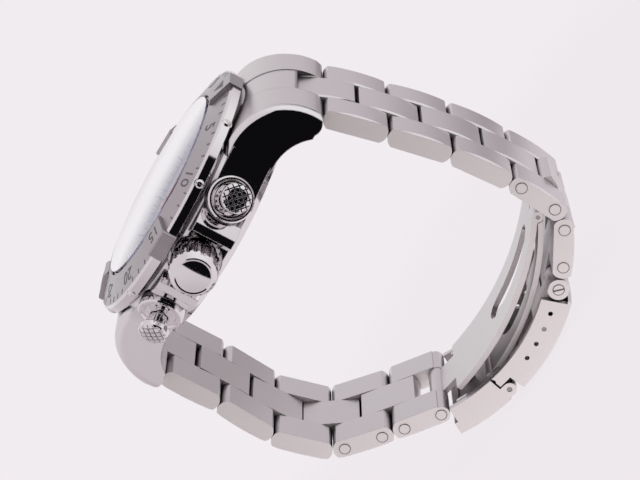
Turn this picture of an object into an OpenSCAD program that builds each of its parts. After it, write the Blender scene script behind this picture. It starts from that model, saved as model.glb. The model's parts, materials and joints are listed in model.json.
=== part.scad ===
// Chronograph wristwatch in steel, on a three-row link bracelet with a folding clasp.
// The origin is the centre of the case back's outer face.
// +Z points out of the dial, +Y to 12 o'clock and +X to the crown.
// A point in the plane of the bracelet's loop is written [y, z].

/* [Case] */
// Width of the bezel's seat, from the neck to the barrel's edge
seat_w = 3.6; // [3.3:0.05:4]
// Height of the bezel seat above the case back's face
case_h = 9.8; // [9.4:0.1:10.6]
// Height of the case barrel's lower edge above the case back's face
case_lift = 0.9; // [0.6:0.1:1.1]
// Wall of the neck that the bezel turns on, outside the gasket
neck_wall = 0.95; // [0.8:0.05:1.1]
// Step from the crystal's edge in to the case's bore
bore_step = 0.2; // [0.1:0.05:0.5]
// Width of the case back's rim outside the case's bore
back_step = 1.7; // [1.3:0.1:2.2]
// Thickness of the case back's rim
back_t = 1.5; // [1.3:0.1:1.7]
// Distance of the bracelet's first pin from the barrel
lug_reach = 4.9; // [4.5:0.1:5.5]
// Radius of the rounded lug tip
lug_tip_r = 2; // [1.9:0.05:2.2]
// Radius of the lug's curved crest
lug_crest_r = 10.1; // [9.6:0.1:10.3]
// Half width of the lugs level with the crest's middle
lug_half_w = 14; // [13.2:0.1:14.4]
// Angle of a lug's flank toward the tip
lug_taper = 10; // [2:1:14]
// Radius of the soft edge between a lug's crest and its flank
lug_edge_r = 1.7; // [0.8:0.1:1.9]
// Radius of the sweep from a lug's flank into the barrel
lug_sweep_r = 7; // [4:0.5:10]

/* [Crystal and bezel] */
// Diameter of the crystal
crystal_d = 32; // [30:0.1:34]
// Thickness of the crystal's gasket
gasket_w = 0.35; // [0.3:0.05:0.5]
// Height of the crystal's rim above the case back's face
crystal_top = 13.6; // [13.4:0.1:14]
// Thickness of the crystal at its rim
crystal_t = 1.8; // [1.5:0.1:2]
// Rise of the crystal's dome over its rim
crystal_dome = 0.6; // [0.2:0.1:1]
// Reach of the bezel past the barrel
bezel_over = 0.95; // [0.6:0.05:1.4]
// Height of the bezel's flank
bezel_flank = 2; // [1.6:0.1:2.4]
// Depth of the bezel's inner lip under the crystal's rim
lip_drop = 0.15; // [0:0.05:0.4]
// Width of a rider tab
tab_w = 4.8; // [4:0.1:6]
// Distance of a rider tab from the bezel's inner lip
tab_inset = 0.45; // [0.35:0.05:1.1]
// Height of a rider tab over the bezel's slope
tab_rise = 0.65; // [0.4:0.05:0.9]

/* [Crown and pushers] */
// Height of the crown's axis above the case back's face
crown_z = 5.7; // [5.3:0.1:6]
// Diameter of the crown over its flutes
crown_d = 7.8; // [7:0.1:8.2]
// Height of the crown's face over the barrel
crown_out = 5.9; // [5.4:0.1:6.6]
// Number of flutes round the crown
crown_flutes = 22; // [16:1:28]
// Travel of the crown from winding to hand setting
crown_pull = 1.6; // [1:0.1:2]
// Angle of a pusher from the crown
pusher_angle = 30; // [29:0.5:32]
// Diameter of the pusher's cap
pusher_d = 4.8; // [4.4:0.1:5.2]
// Diameter of the pusher's dished collar
collar_d = 7.4; // [7:0.1:7.8]
// Height of a pusher's cap over the barrel
pusher_out = 6.5; // [6.2:0.1:7]
// Inward travel of a pusher
pusher_travel = 1; // [0.6:0.1:1.1]
// Number of grooves each way across the cap
cap_grooves = 5; // [3:1:6]

/* [Dial and movement] */
// Ledge of the case's bore outside the dial
dial_ledge = 0.8; // [0.6:0.05:1.2]
// Height of the dial's face above the case back's face
dial_z = 9.6; // [9.4:0.05:9.8]
// Thickness of the dial
dial_t = 0.4; // [0.3:0.05:0.5]
// Distance of a counter's middle from the dial's edge
counter_inset = 7.4; // [7:0.1:8]
// Diameter of a counter
counter_d = 7; // [6:0.1:7.6]
// Wall of the ring round the movement
ring_wall = 1.2; // [1:0.1:1.6]
// Thickness of a hand
hand_t = 0.16; // [0.12:0.01:0.2]
// Length of the minute hand
minute_l = 12.6; // [11:0.1:13.2]
// Length of the hour hand
hour_l = 8.4; // [7:0.1:9.4]

/* [Bracelet] */
// Width of the bracelet
strap_w = 20; // [19:0.1:20.6]
// Width of the centre row
centre_w = 8; // [7:0.1:8.6]
// Thickness of a link
link_t = 3.4; // [3:0.05:3.5]
// Pin spacing in an outer link
outer_pitch = 6.6; // [6.4:0.05:6.9]
// Pin spacing in a centre link
centre_pitch = 4; // [4:0.05:4.2]
// Diameter of a link pin
pin_d = 1.2; // [0.9:0.05:1.4]
// Diameter of a pin's visible head
pin_head_d = 1.75; // [1.6:0.05:2]
// Radius of the crown on a link's outer face
link_crown_r = 26; // [22:1:60]
// Bevel along a link's outer edges
link_bevel = 0.28; // [0.1:0.02:0.4]

/* [Clasp] */
// Outer radius of the clasp's curve
clasp_r = 36.5; // [36:0.1:37.5]
// Height of the cover's side walls
cover_h = 5; // [4.8:0.1:5.2]
// Thickness of the cover's side walls
cover_wall = 1; // [0.9:0.05:1.1]
// Thickness of the cover's roof
cover_roof = 0.65; // [0.5:0.05:0.7]
// Depth of the bracelet's spring bar under the cover's outer face
bar_depth = 2.8; // [2.7:0.05:2.9]
// Angle of the spring bar from the clasp's middle
bar_angle = 9.3; // [8.8:0.1:9.8]
// Angle between two adjusting holes
hole_step = 5; // [4.6:0.1:5.3]
// Diameter of an adjusting hole
adjust_d = 0.8; // [0.7:0.05:0.9]
// Length from the end link's screw to its spring bar
end_link_l = 7.4; // [7.4:0.05:7.6]
// Thickness of a folding blade
blade_t = 0.9; // [0.7:0.05:1]
// Width of the folding blades
blade_w = 15; // [13:0.2:15.2]
// Radius of the middle blade's curve
middle_r = 45; // [40:1:60]
// Radius of the inner blade's curve
inner_r = 53.5; // [48:0.5:60]
// Length of the window in the blades between its round ends
window_l = 12; // [8:0.5:13]
// Depth of the blades' hinge under the cover's outer face
hinge_depth = 5.8; // [5.7:0.05:6]

/* [Hidden] */
$fn = 72;

steel = [0.78, 0.76, 0.76];
polished = [0.87, 0.86, 0.87];
dark_steel = [0.55, 0.54, 0.55];

// Sizes that follow from the sections above
case_d = crystal_d + 2 * (gasket_w + neck_wall + seat_w);
neck_d = case_d - 2 * seat_w;
cavity_d = crystal_d - 2 * bore_step;
back_d = cavity_d + 2 * back_step;
lug_pin_y = case_d / 2 + lug_reach;
bezel_d = case_d + 2 * bezel_over;
bezel_top = crystal_top - lip_drop;
crown_x = case_d / 2 + crown_out;
pusher_reach = case_d / 2 + pusher_out;
dial_d = cavity_d - 2 * dial_ledge;
movement_d = cavity_d - 2 * ring_wall;
counter_at = dial_d / 2 - counter_inset;

// Clearances
eps = 0.01;
run_gap = 0.05;
side_gap = 0.1;
open_gap = 0.15;
seat = 0.02;

// Direction of each link from the lug outwards, from straight down, in degrees
upper_bend = [24, 14, 11, 12, 9, 4, 1, -4, -35, -59, -68, -76];
lower_bend = [-1, 0, -3, -4, 0, 15, 35, 50, 53, 54];
lug_pin_z = 0;

function heading(a) = [sin(a), -cos(a)];
function pitch_of(i) = i % 2 == 0 ? centre_pitch : outer_pitch;
function upper_pitch(i) = i == 11 ? end_link_l : pitch_of(i);
// Pin i of each half of the bracelet, counted from the lug's own pin
function upper_pin(i) = i == 0
    ? [lug_pin_y, lug_pin_z]
    : upper_pin(i - 1) + upper_pitch(i - 1) * heading(upper_bend[i - 1]);
function lower_pin(i) = i == 0
    ? [-lug_pin_y, lug_pin_z]
    : lower_pin(i - 1) + pitch_of(i - 1) * heading(lower_bend[i - 1]);

// A link's ends are arcs about its own pins, so that neighbours clear each other at any bend
outer_end_r = (centre_pitch - side_gap) / 2;
centre_end_r = (outer_pitch - side_gap) / 2;

// The clasp's parts are placed by radius and by angle from its middle
bar_r = clasp_r - bar_depth;
clasp_mid = upper_pin(12) - bar_r * heading(bar_angle);
function on_clasp(r, t) = clasp_mid + r * heading(t);
function angle_on_clasp(p) = atan2(p[0] - clasp_mid[0], clasp_mid[1] - p[1]);
function radius_on_clasp(p) = norm(p - clasp_mid);
cover_inner_r = clasp_r - cover_h;
cover_end = 18.1;
roof_end = 19.8;
roof_tail = -8.3;
wall_tail = -12.3;
fold_angle = -13;
fold_r = cover_inner_r + 0.6;
fold_pin = on_clasp(fold_r, fold_angle);
fold_pin_r = 0.45;
fold_knuckle_r = 0.9;
blade_hinge = on_clasp(clasp_r - hinge_depth, 43);
blade_knuckle_r = 0.95;
blade_pin_r = 0.35;
blade_end = lower_pin(10);
last_end_r = 1.5;
blade_end_r = 1.45;
tongue_r = cover_inner_r + 1.8;
tongue_t = 0.8;
latch_r = clasp_r - 1.5;
latch_angle = -11.2;
latch_pin_r = 0.4;
latch_lobe_r = 1.2;
latch_tip = angle_on_clasp(blade_end) + (last_end_r + 0.2) / radius_on_clasp(blade_end) * 180 / PI;
tongue_tip = latch_tip + 2.6;
cheek_w = 0.8;
inner_w = strap_w - 2 * cover_wall;
tongue_w = inner_w - 0.4;

// Extrudes an outline of the loop's plane by w, centred across the watch
module across(w, x = 0) {
    translate([x, 0, 0]) rotate([90, 0, 90]) linear_extrude(height = w, center = true) children();
}

// Both sides of the watch, from x0 to x1
module both_sides(x0, x1) {
    for (s = [-1, 1]) across(x1 - x0, s * (x0 + x1) / 2) children();
}

module rod(p, r, w) {
    across(w) translate(p) circle(r);
}

// Case

lug_mid = [lug_pin_y + lug_tip_r - lug_crest_r, -0.4];
lug_under = case_lift + 0.7;
lug_relief_r = 8;

// Side outline of a lug for 12 o'clock, from the crest down to the rounded tip
module lug_side(crest_r) {
    low = lug_pin_z - 1.6;
    relief_y = lug_pin_y - 8.3;
    difference() {
        union() {
            translate([lug_pin_y, lug_pin_z]) circle(lug_tip_r);
            intersection() {
                translate(lug_mid) circle(crest_r, $fn = 120);
                translate([8, lug_pin_z]) square([22, case_h - 0.1 - lug_pin_z]);
            }
            translate([lug_pin_y - 9, low]) square([9, 2]);
        }
        translate([relief_y, lug_under - lug_relief_r]) circle(lug_relief_r, $fn = 120);
        translate([0, -10]) square([relief_y, 10 + lug_under]);
    }
}

// A wheel along the crest, toed in by the taper, whose rim gives a lug its soft outer edge
module lug_wheel() {
    e = lug_edge_r;
    r = lug_crest_r + 0.3;
    translate([lug_half_w, lug_mid[0], lug_mid[1]]) rotate([0, 0, lug_taper]) rotate([0, -90, 0])
        rotate_extrude($fn = 120) {
            square([r - e, 8]);
            translate([0, e]) square([r, 8 - e]);
            translate([r - e, e]) circle(e, $fn = 48);
        }
}

// Plan of the concave sweep that leads a lug's flank into the barrel
module lug_sweep() {
    r = case_d / 2;
    n = [cos(lug_taper), sin(lug_taper)];
    d = [-n[1], n[0]];
    a = [lug_half_w, lug_mid[0]] + lug_sweep_r * n;
    along = -a * d + sqrt(pow(a * d, 2) - a * a + pow(r + lug_sweep_r, 2));
    c = a + along * d;
    t = c * r / (r + lug_sweep_r);
    f = c - lug_sweep_r * n;
    difference() {
        polygon([f - [3, 0], f, c, t, [f[0] - 3, t[1] - 3]]);
        translate(c) circle(lug_sweep_r);
    }
}

module lug_pair() {
    w = lug_half_w - lug_edge_r - 1.2;
    difference() {
        union() {
            across(2 * w) lug_side(lug_crest_r);
            for (s = [0, 1]) mirror([s, 0, 0]) intersection() {
                across(6, w + 2) lug_side(lug_crest_r);
                lug_wheel();
            }
            translate([0, 0, case_lift + 1]) linear_extrude(case_h - case_lift - 2.1)
                for (s = [0, 1]) mirror([s, 0, 0]) lug_sweep();
        }
        translate([-centre_w / 2 - side_gap, case_d / 4, -10])
            cube([centre_w + 2 * side_gap, 30, 30]);
        rod([lug_pin_y, lug_pin_z], pin_d / 2 + seat, strap_w - 2);
        rod(end_piece_pin, pin_d / 2 + seat, strap_w - 2);
    }
}
end_piece_pin = [lug_pin_y - 3.4, lug_pin_z + 3.4];

module barrel() {
    r = case_d / 2;
    rotate_extrude() polygon([
        [back_d / 2 + 0.1, case_lift], [r - 0.8, case_lift], [r, case_lift + 1],
        [r, case_h - 1.1], [r - 0.5, case_h], [neck_d / 2, case_h],
        [neck_d / 2, neck_top], [crystal_seat_r, neck_top],
        [crystal_seat_r, crystal_top - crystal_t], [cavity_d / 2 - 0.6, crystal_top - crystal_t],
        [cavity_d / 2 - 0.6, crystal_top - crystal_t - 0.5], [cavity_d / 2, crystal_top - crystal_t - 0.5],
        [cavity_d / 2, back_t + 0.1], [back_d / 2 + 0.1, back_t + 0.1]
    ]);
}
crystal_seat_r = crystal_d / 2 + gasket_w;
neck_top = crystal_top - 0.9;

// Shoulders between the crown and the pushers, with slanted facets on both flanks
module crown_guards() {
    x_out = case_d / 2 + 1.7;
    x_in = case_d / 2 - 3.9;
    r = crown_d / 2;
    for (s = [-1, 1]) translate([0, 0, case_lift + 1.2]) linear_extrude(case_h - case_lift - 2)
        polygon([[x_in, s * (r - 0.5)], [x_out - 1.9, s * r], [x_out, s * (r + 1.2)],
                 [x_out - 0.25, s * (r + 2.6)], [x_out - 1.9, s * (r + 4.3)], [x_in, s * (r + 5.5)]]);
}

module at_pusher(s) {
    translate([0, 0, crown_z]) rotate([0, 0, s * pusher_angle]) rotate([0, 90, 0]) children();
}

module at_crown() {
    translate([0, 0, crown_z]) rotate([0, 90, 0]) children();
}

module case_middle() {
    color(steel) difference() {
        union() {
            barrel();
            intersection() {
                union() {
                    lug_pair();
                    rotate([0, 0, 180]) lug_pair();
                }
                difference() {
                    translate([-30, -40, -10]) cube([60, 80, 30]);
                    translate([0, 0, -20]) cylinder(r = case_d / 2 - 1.5, h = 60);
                }
            }
            difference() {
                crown_guards();
                cylinder(r = case_d / 2 - 1, h = 30);
            }
        }
        at_crown() {
            translate([0, 0, crown_seat]) cylinder(r = crown_d / 2 + 0.35, h = 10);
            translate([0, 0, 10]) cylinder(r = tube_r + seat, h = 20);
        }
        for (s = [-1, 1]) at_pusher(s) {
            translate([0, 0, collar_seat]) cylinder(r = collar_d / 2 + seat, h = 10);
            translate([0, 0, 10]) cylinder(r = sleeve_r + seat, h = 20);
        }
    }
}
crown_seat = case_d / 2 - 0.6;
tube_r = 1.8;
collar_seat = case_d / 2 - 0.7;
sleeve_r = 1.5;

module case_back() {
    r = back_d / 2;
    color(polished) difference() {
        rotate_extrude() polygon([
            [0, 0], [r - 1.6, 0], [r - 0.4, 0.35], [r, 0.8], [r, back_t],
            [cavity_d / 2 - 0.1, back_t], [cavity_d / 2 - 0.1, back_t + 1],
            [cavity_d / 2 - 0.9, back_t + 1], [cavity_d / 2 - 0.9, back_t], [0, back_t]
        ]);
        for (k = [0:5]) rotate([0, 0, 60 * k + 30]) translate([r - 2.6, 0, -1]) cylinder(d = 1.3, h = 1.7);
    }
}

module crystal() {
    r = crystal_d / 2;
    low = crystal_top - crystal_t + seat;
    dome_r = (r * r + crystal_dome * crystal_dome) / (2 * crystal_dome);
    color([0.8, 0.85, 0.95, 0.35]) rotate_extrude() intersection() {
        translate([0, crystal_top + crystal_dome - dome_r]) circle(dome_r, $fn = 1080);
        translate([0, low]) square([r, crystal_top + crystal_dome - low + 1]);
    }
}

module crystal_gasket() {
    color([0.9, 0.9, 0.88]) translate([0, 0, crystal_top - crystal_t + seat]) difference() {
        cylinder(r = crystal_seat_r - seat, h = neck_top - crystal_top + crystal_t);
        translate([0, 0, -1]) cylinder(r = crystal_d / 2 + seat, h = 4);
    }
}

module crown_tube() {
    color(dark_steel) at_crown() difference() {
        translate([0, 0, cavity_d / 2 + 0.1]) cylinder(r = tube_r, h = crown_x - 3.4 - cavity_d / 2 - 0.1);
        cylinder(r = stem_r + run_gap, h = 40);
    }
}
stem_r = 0.7;

// A dished collar in the case and the sleeve that guides the pusher's stem
module pusher_collars() {
    r = collar_d / 2;
    rim = collar_seat + 2.9;
    color(polished) for (s = [-1, 1]) at_pusher(s) rotate_extrude() polygon([
        [pusher_stem_r + run_gap, cavity_d / 2 + 0.1], [sleeve_r, cavity_d / 2 + 0.1],
        [sleeve_r, collar_seat + seat], [r - 0.5, collar_seat + seat], [r, collar_seat + 0.6],
        [r, rim - 0.25], [r - 0.25, rim], [r - 0.55, rim], [r - 0.75, rim - 0.35],
        [r - 1.05, rim - 0.35], [r - 1.15, rim - 0.15], [pusher_d / 2 + 0.15, rim - 0.15],
        [pusher_d / 2 + 0.15, rim - 1], [pusher_stem_r + run_gap, rim - 1]
    ]);
}
pusher_stem_r = 0.9;

// Centre pieces that close the gap between the lugs
module end_pieces() {
    color(steel) for (s = [0, 180]) rotate([0, 0, s]) difference() {
        intersection() {
            across(centre_w) lug_side(lug_crest_r - 0.08);
            translate([-10, case_d / 4, -10]) cube([20, 20, 30]);
        }
        cylinder(r = case_d / 2 + seat, h = 30);
        rod([lug_pin_y, lug_pin_z], centre_end_r + side_gap, 30);
        rod(end_piece_pin, pin_d / 2 + seat, 30);
    }
}

module spring_bars() {
    color(dark_steel) for (s = [0, 180]) rotate([0, 0, s]) {
        rod([lug_pin_y, lug_pin_z], pin_d / 2, strap_w - 2.1);
        rod(end_piece_pin, pin_d / 2, strap_w - 2.1);
    }
}

// Dial side

module flange_ring() {
    top = crystal_top - crystal_t - 0.55;
    color([0.2, 0.2, 0.22]) rotate_extrude() polygon([
        [cavity_d / 2 - 0.05, dial_z + seat], [cavity_d / 2 - 0.05, top],
        [cavity_d / 2 - 0.5, top], [dial_d / 2 - 0.9, dial_z + seat]
    ]);
}

module dial() {
    color([0.92, 0.92, 0.93]) translate([0, 0, dial_z - dial_t]) difference() {
        cylinder(r = dial_d / 2, h = dial_t);
        translate([0, 0, -1]) cylinder(r = 0.75, h = 3);
        for (a = [90, 180, 270]) rotate([0, 0, a]) translate([counter_at, 0, 0]) {
            translate([0, 0, dial_t - 0.12]) cylinder(r = counter_d / 2, h = 1);
            translate([0, 0, -1]) cylinder(r = 0.3, h = 3);
        }
        translate([dial_d / 2 - 5, -1.1, -1]) cube([2.6, 2.2, 3]);
    }
}

module hour_markers() {
    color(polished) for (h = [1:11]) if (h % 3 != 0) rotate([0, 0, -30 * h]) {
        translate([-0.45, dial_d / 2 - 4.2, dial_z + eps]) cube([0.9, 2.6, 0.3]);
    }
    color(polished) for (s = [-1, 1]) translate([s * 0.75 - 0.4, dial_d / 2 - 3.6, dial_z + eps])
        cube([0.8, 2, 0.3]);
}

module date_disc() {
    color([0.95, 0.95, 0.95]) translate([0, 0, dial_z - dial_t - 0.35]) difference() {
        cylinder(r = dial_d / 2 - 1.4, h = 0.25);
        translate([0, 0, -1]) cylinder(r = dial_d / 2 - 5.6, h = 3);
    }
}

module movement_ring() {
    top = dial_z - dial_t - seat;
    color([0.75, 0.7, 0.6]) difference() {
        translate([0, 0, back_t + 1.1]) cylinder(r = cavity_d / 2 - 0.06, h = top - back_t - 1.1);
        cylinder(r = movement_d / 2 + 0.06, h = 20);
        at_crown() cylinder(r = tube_r + 0.1, h = 30);
        for (s = [-1, 1]) at_pusher(s) cylinder(r = sleeve_r + 0.1, h = 30);
    }
}

module main_plate() {
    color([0.8, 0.72, 0.5]) translate([0, 0, crown_z - 1.1]) difference() {
        cylinder(r = movement_d / 2, h = dial_z - dial_t - 0.4 - crown_z + 1.1);
        translate([0, 0, 1.1]) rotate([0, 90, 0]) cylinder(r = 1.5, h = 30);
        for (s = [-1, 1]) rotate([0, 0, s * pusher_angle]) translate([9.5, 0, 1.1])
            rotate([0, 90, 0]) cylinder(r = pusher_stem_r + 0.15, h = 20);
        translate([0, 0, -1]) cylinder(r = 0.75, h = 20);
        for (a = [90, 180, 270]) rotate([0, 0, a]) translate([counter_at, 0, -1]) cylinder(r = 0.3, h = 20);
    }
}

module train_bridge() {
    color([0.85, 0.85, 0.87]) translate([0, 0, rotor_z + 0.6]) difference() {
        cylinder(r = movement_d / 2 - 0.8, h = crown_z - 1.1 - rotor_z - 0.6 - eps);
        translate([0, 0, -1]) cylinder(r = 0.9, h = 10);
        translate([7.1 - movement_d / 2, -6, -1]) cylinder(r = 4.6, h = 10);
        translate([6.8, -1.5, -1]) cube([10, 3, 10]);
    }
}
rotor_z = back_t + 1.15;

// Oscillating weight on the back of the movement
module rotor() {
    color([0.8, 0.8, 0.82]) translate([0, 0, rotor_z]) {
        cylinder(r = 0.8, h = 0.9);
        difference() {
            cylinder(r = cavity_d / 2 - 1.9, h = 0.45);
            translate([-20, 1.2, -1]) cube([40, 20, 3]);
            for (s = [-1, 1]) translate([s * 5.4, -5.2, -1]) cylinder(r = 2.6, h = 3);
        }
    }
}

// A tapering hand with a round hub and a tail
module hand(z, length, tail, w, hub_r) {
    translate([0, 0, z]) {
        linear_extrude(hand_t) polygon([
            [-w / 2, -tail], [w / 2, -tail], [w * 0.7, length * 0.55], [0, length],
            [-w * 0.7, length * 0.55]
        ]);
        cylinder(r = hub_r, h = hand_t);
    }
}

hand_z = dial_z + 0.45;
module hour_hand() {
    color(polished) {
        hand(hand_z, hour_l, 1.6, 1, 0.9);
        translate([0, 0, dial_z - 0.35]) cylinder(r = 0.55, h = hand_z - dial_z + 0.35);
    }
}

module minute_hand() {
    color(polished) hand(hand_z + 0.45, minute_l, 1.8, 0.9, 0.8);
    color(polished) translate([0, 0, hand_z + 0.25]) cylinder(r = 0.5, h = 0.3);
}

module chrono_seconds_hand() {
    color([0.7, 0.1, 0.1]) hand(hand_z + 0.9, minute_l + 0.7, 3.6, 0.3, 0.6);
    color([0.7, 0.1, 0.1]) translate([0, 0, hand_z + 0.7]) cylinder(r = 0.4, h = 0.3);
}

// Places a small hand and its arbor over the counter at angle a
module counter_hand(a) {
    rotate([0, 0, a]) translate([counter_at, 0, 0]) rotate([0, 0, -a]) {
        hand(dial_z + 0.1, counter_d / 2 - 0.5, 0.9, 0.4, 0.45);
        translate([0, 0, dial_z - 0.35]) cylinder(r = 0.25, h = 0.5);
    }
}

module small_seconds_hand() {
    color([0.15, 0.15, 0.17]) counter_hand(180);
}

module minute_counter_hand() {
    color([0.15, 0.15, 0.17]) counter_hand(90);
}

module hour_counter_hand() {
    color([0.15, 0.15, 0.17]) counter_hand(270);
}

// Bezel

bezel_bottom = case_h + 0.12;
bezel_slope_r = bezel_d / 2 - 0.35;
bezel_lip_r = crystal_seat_r + 0.15;
tab_l = bezel_d / 2 + 0.2 - bezel_lip_r - tab_inset;
bezel_edge_z = bezel_bottom + bezel_flank;
function slope_z(r) = bezel_edge_z + 0.15
    + (bezel_slope_r - r) * (bezel_top - bezel_edge_z - 0.15) / (bezel_slope_r - bezel_lip_r - 0.3);

module bezel() {
    r = bezel_d / 2;
    color(polished) difference() {
        rotate_extrude() polygon([
            [neck_d / 2 + 0.08, bezel_bottom], [r - 0.5, bezel_bottom], [r, bezel_bottom + 0.4],
            [r, bezel_edge_z - 0.25], [bezel_slope_r, bezel_edge_z + 0.15],
            [bezel_lip_r + 0.3, bezel_top], [bezel_lip_r, bezel_top - 0.15],
            [bezel_lip_r, crystal_top - 0.6], [neck_d / 2 + 0.08, crystal_top - 0.6]
        ]);
        for (k = [0:3]) rotate([0, 0, 90 * k]) tab_seat(seat);
    }
}

// Side outline of a rider tab in [radius, z], and its seat in the bezel
module tab_outline(grow) {
    r = bezel_d / 2;
    r_in = bezel_lip_r + tab_inset;
    polygon([
        [r + 0.2 + grow, bezel_bottom + 0.25 - grow], [r + 0.2 + grow, slope_z(r) + tab_rise - 0.1],
        [r - 0.2, slope_z(r - 0.2) + tab_rise + 0.05], [r_in + 0.9, slope_z(r_in + 0.9) + tab_rise],
        [r_in - grow, slope_z(r_in) + 0.05], [r_in - grow, slope_z(r_in) - 0.4 - grow],
        [r - 1.4 - grow, slope_z(r - 1) - 0.8 - grow], [r - 1.4 - grow, bezel_bottom + 0.25 - grow]
    ]);
}

module tab_seat(grow) {
    rotate([90, 0, 0]) linear_extrude(height = tab_w + 2 * grow, center = true) tab_outline(grow);
}

module rider_tabs() {
    color(polished) for (k = [0:3]) rotate([0, 0, 90 * k]) intersection() {
        tab_seat(0);
        translate([bezel_d / 2 + 0.2, 0, 0]) rotate([0, 0, 180]) linear_extrude(20) polygon([
            [0, -tab_w / 2 + 0.2], [0.3, -tab_w / 2], [tab_l - 0.4, -tab_w / 2], [tab_l, -tab_w / 2 + 0.5],
            [tab_l, tab_w / 2 - 0.5], [tab_l - 0.4, tab_w / 2], [0.3, tab_w / 2], [0, tab_w / 2 - 0.2]
        ]);
    }
}

// Crown and winding works

module winding_pinion() {
    color(dark_steel) at_crown() translate([0, 0, 7.2]) difference() {
        union() {
            cylinder(r = 0.95, h = 2.4);
            for (k = [0:9]) rotate([0, 0, 36 * k]) translate([0.9, -0.16, 0]) cube([0.4, 0.32, 1.5]);
        }
        translate([-0.35, -0.35, -1]) cube([0.7, 0.7, 5]);
    }
}

module winding_stem() {
    square_w = 0.6;
    color(dark_steel) at_crown() {
        translate([-square_w / 2, -square_w / 2, 5.2]) cube([square_w, square_w, 5]);
        translate([0, 0, 10.1]) cylinder(r = stem_r, h = crown_x - 2.2 - 10.1);
    }
}

module crown() {
    r = crown_d / 2;
    length = crown_x - crown_seat - 1;
    color(polished) at_crown() translate([0, 0, crown_seat + 1]) difference() {
        rotate_extrude() polygon([
            [tube_r + 0.12, 0], [r - 0.5, 0], [r, 0.5], [r, length - 1.3], [r - 0.25, length - 0.75],
            [r - 0.75, length - 0.1], [r - 0.95, length], [r - 1.2, length - 0.08], [0, length - 0.08],
            [0, length - 2.1], [stem_r + eps, length - 2.1], [tube_r + 0.12, length - 2.1]
        ]);
        for (k = [0:crown_flutes - 1]) rotate([0, 0, 360 / crown_flutes * k])
            translate([r + 0.12, 0, -1]) cylinder(r = 0.34, h = length - 0.1, $fn = 24);
        cylinder(r = stem_r + eps, h = length - 2.2 + 0.3);
    }
}

// A pusher: stem, fluted bell neck and a round cap with crossed grooves
module pusher(s) {
    r = pusher_d / 2;
    neck_start = collar_seat + 2.1;
    groove_w = 0.2;
    pitch = 2 * r / (cap_grooves + 0.6);
    color(polished) at_pusher(s) difference() {
        union() {
            translate([0, 0, 13]) cylinder(r = pusher_stem_r, h = pusher_reach - 13 - 2);
            translate([0, 0, neck_start]) rotate_extrude() polygon([
                [0, pusher_travel + 0.05], [1.55, pusher_travel + 0.05],
                [1.6, pusher_reach - neck_start - 2.3], [1.85, pusher_reach - neck_start - 2],
                [r - 0.1, pusher_reach - neck_start - 1.75], [r, pusher_reach - neck_start - 1.5],
                [r, pusher_reach - neck_start - 0.75], [r - 0.2, pusher_reach - neck_start - 0.4],
                [r * 0.66, pusher_reach - neck_start - 0.12], [0, pusher_reach - neck_start]
            ]);
        }
        for (k = [0:11]) rotate([0, 0, 30 * k]) translate([1.95, 0, neck_start])
            cylinder(r = 0.42, h = pusher_reach - neck_start - 2.1, $fn = 24);
        for (a = [0, 90], k = [0:cap_grooves - 1]) rotate([0, 0, a + 45])
            translate([(k - (cap_grooves - 1) / 2) * pitch - groove_w / 2, -r - 1, pusher_reach - 0.55])
                cube([groove_w, 2 * r + 2, 2]);
    }
}

module pusher_2() {
    pusher(1);
}

module pusher_4() {
    pusher(-1);
}

// Bracelet

// Puts a link at its first pin: x across, y along the link, z out of the loop
module link_at(p, a, side) {
    translate([0, p[0], p[1]]) rotate([a - 90, 0, 0]) rotate([0, side > 0 ? 0 : 180, 0]) children();
}

// Side outline of a link from its first pin, with a crowned outer face
module bar_outline(pitch, r0, r1) {
    intersection() {
        union() {
            circle(r0);
            translate([pitch, 0]) circle(r1);
            translate([0, -link_t / 2]) square([pitch, link_t]);
        }
        translate([-r0, -link_t / 2]) square([pitch + r0 + r1, link_t]);
        translate([pitch / 2, link_t / 2 - link_crown_r]) circle(link_crown_r, $fn = 144);
    }
}

// Bevels the outer edges of a link between x0 and x1
module bevel_limit(x0, x1) {
    b = link_bevel;
    t = link_t / 2;
    translate([0, 20, 0]) rotate([90, 0, 0]) linear_extrude(40) polygon([
        [x0, -t], [x1, -t], [x1, t - b], [x1 - b, t], [x0 + b, t], [x0, t - b]
    ]);
}

module outer_link(p, a, side, heads, last_r) {
    x0 = centre_w / 2 + run_gap;
    x1 = strap_w / 2;
    pin_r = pin_d / 2;
    inside = 2 * (x1 - 0.8);
    color(steel) link_at(p, a, side) {
        for (s = [0, 1]) mirror([s, 0, 0]) difference() {
            intersection() {
                across(x1 - x0, (x0 + x1) / 2) bar_outline(outer_pitch, outer_end_r, last_r);
                bevel_limit(x0, x1);
            }
            for (y = [0, outer_pitch]) {
                rod([y, 0], pin_r + eps, heads ? 2 * x1 + 1 : inside);
                if (heads) across(0.9, x1) translate([y, 0]) circle(pin_head_d / 2 + eps);
            }
        }
        for (y = [0, outer_pitch]) {
            rod([y, 0], pin_r, heads ? 2 * x1 - 0.2 : inside - seat);
            if (heads) both_sides(x1 - 0.4, x1 + 0.06) translate([y, 0]) circle(pin_head_d / 2);
        }
    }
}

module centre_link(p, a, side) {
    x1 = centre_w / 2;
    color(polished) link_at(p, a, side) difference() {
        intersection() {
            across(2 * x1) bar_outline(centre_pitch, centre_end_r, centre_end_r);
            bevel_limit(-x1, x1);
        }
        for (y = [0, centre_pitch]) rod([y, 0], pin_d / 2 + run_gap, 30);
    }
}

module upper_centre(i) {
    centre_link(upper_pin(2 * i - 2), upper_bend[2 * i - 2], 1);
}

module upper_outer(i) {
    outer_link(upper_pin(2 * i - 1), upper_bend[2 * i - 1], 1, i > 3, outer_end_r);
}

module lower_centre(i) {
    centre_link(lower_pin(2 * i - 2), lower_bend[2 * i - 2], -1);
}

module lower_outer(i) {
    outer_link(lower_pin(2 * i - 1), lower_bend[2 * i - 1], -1, i > 3, i == 5 ? last_end_r : outer_end_r);
}

// Clasp

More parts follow.
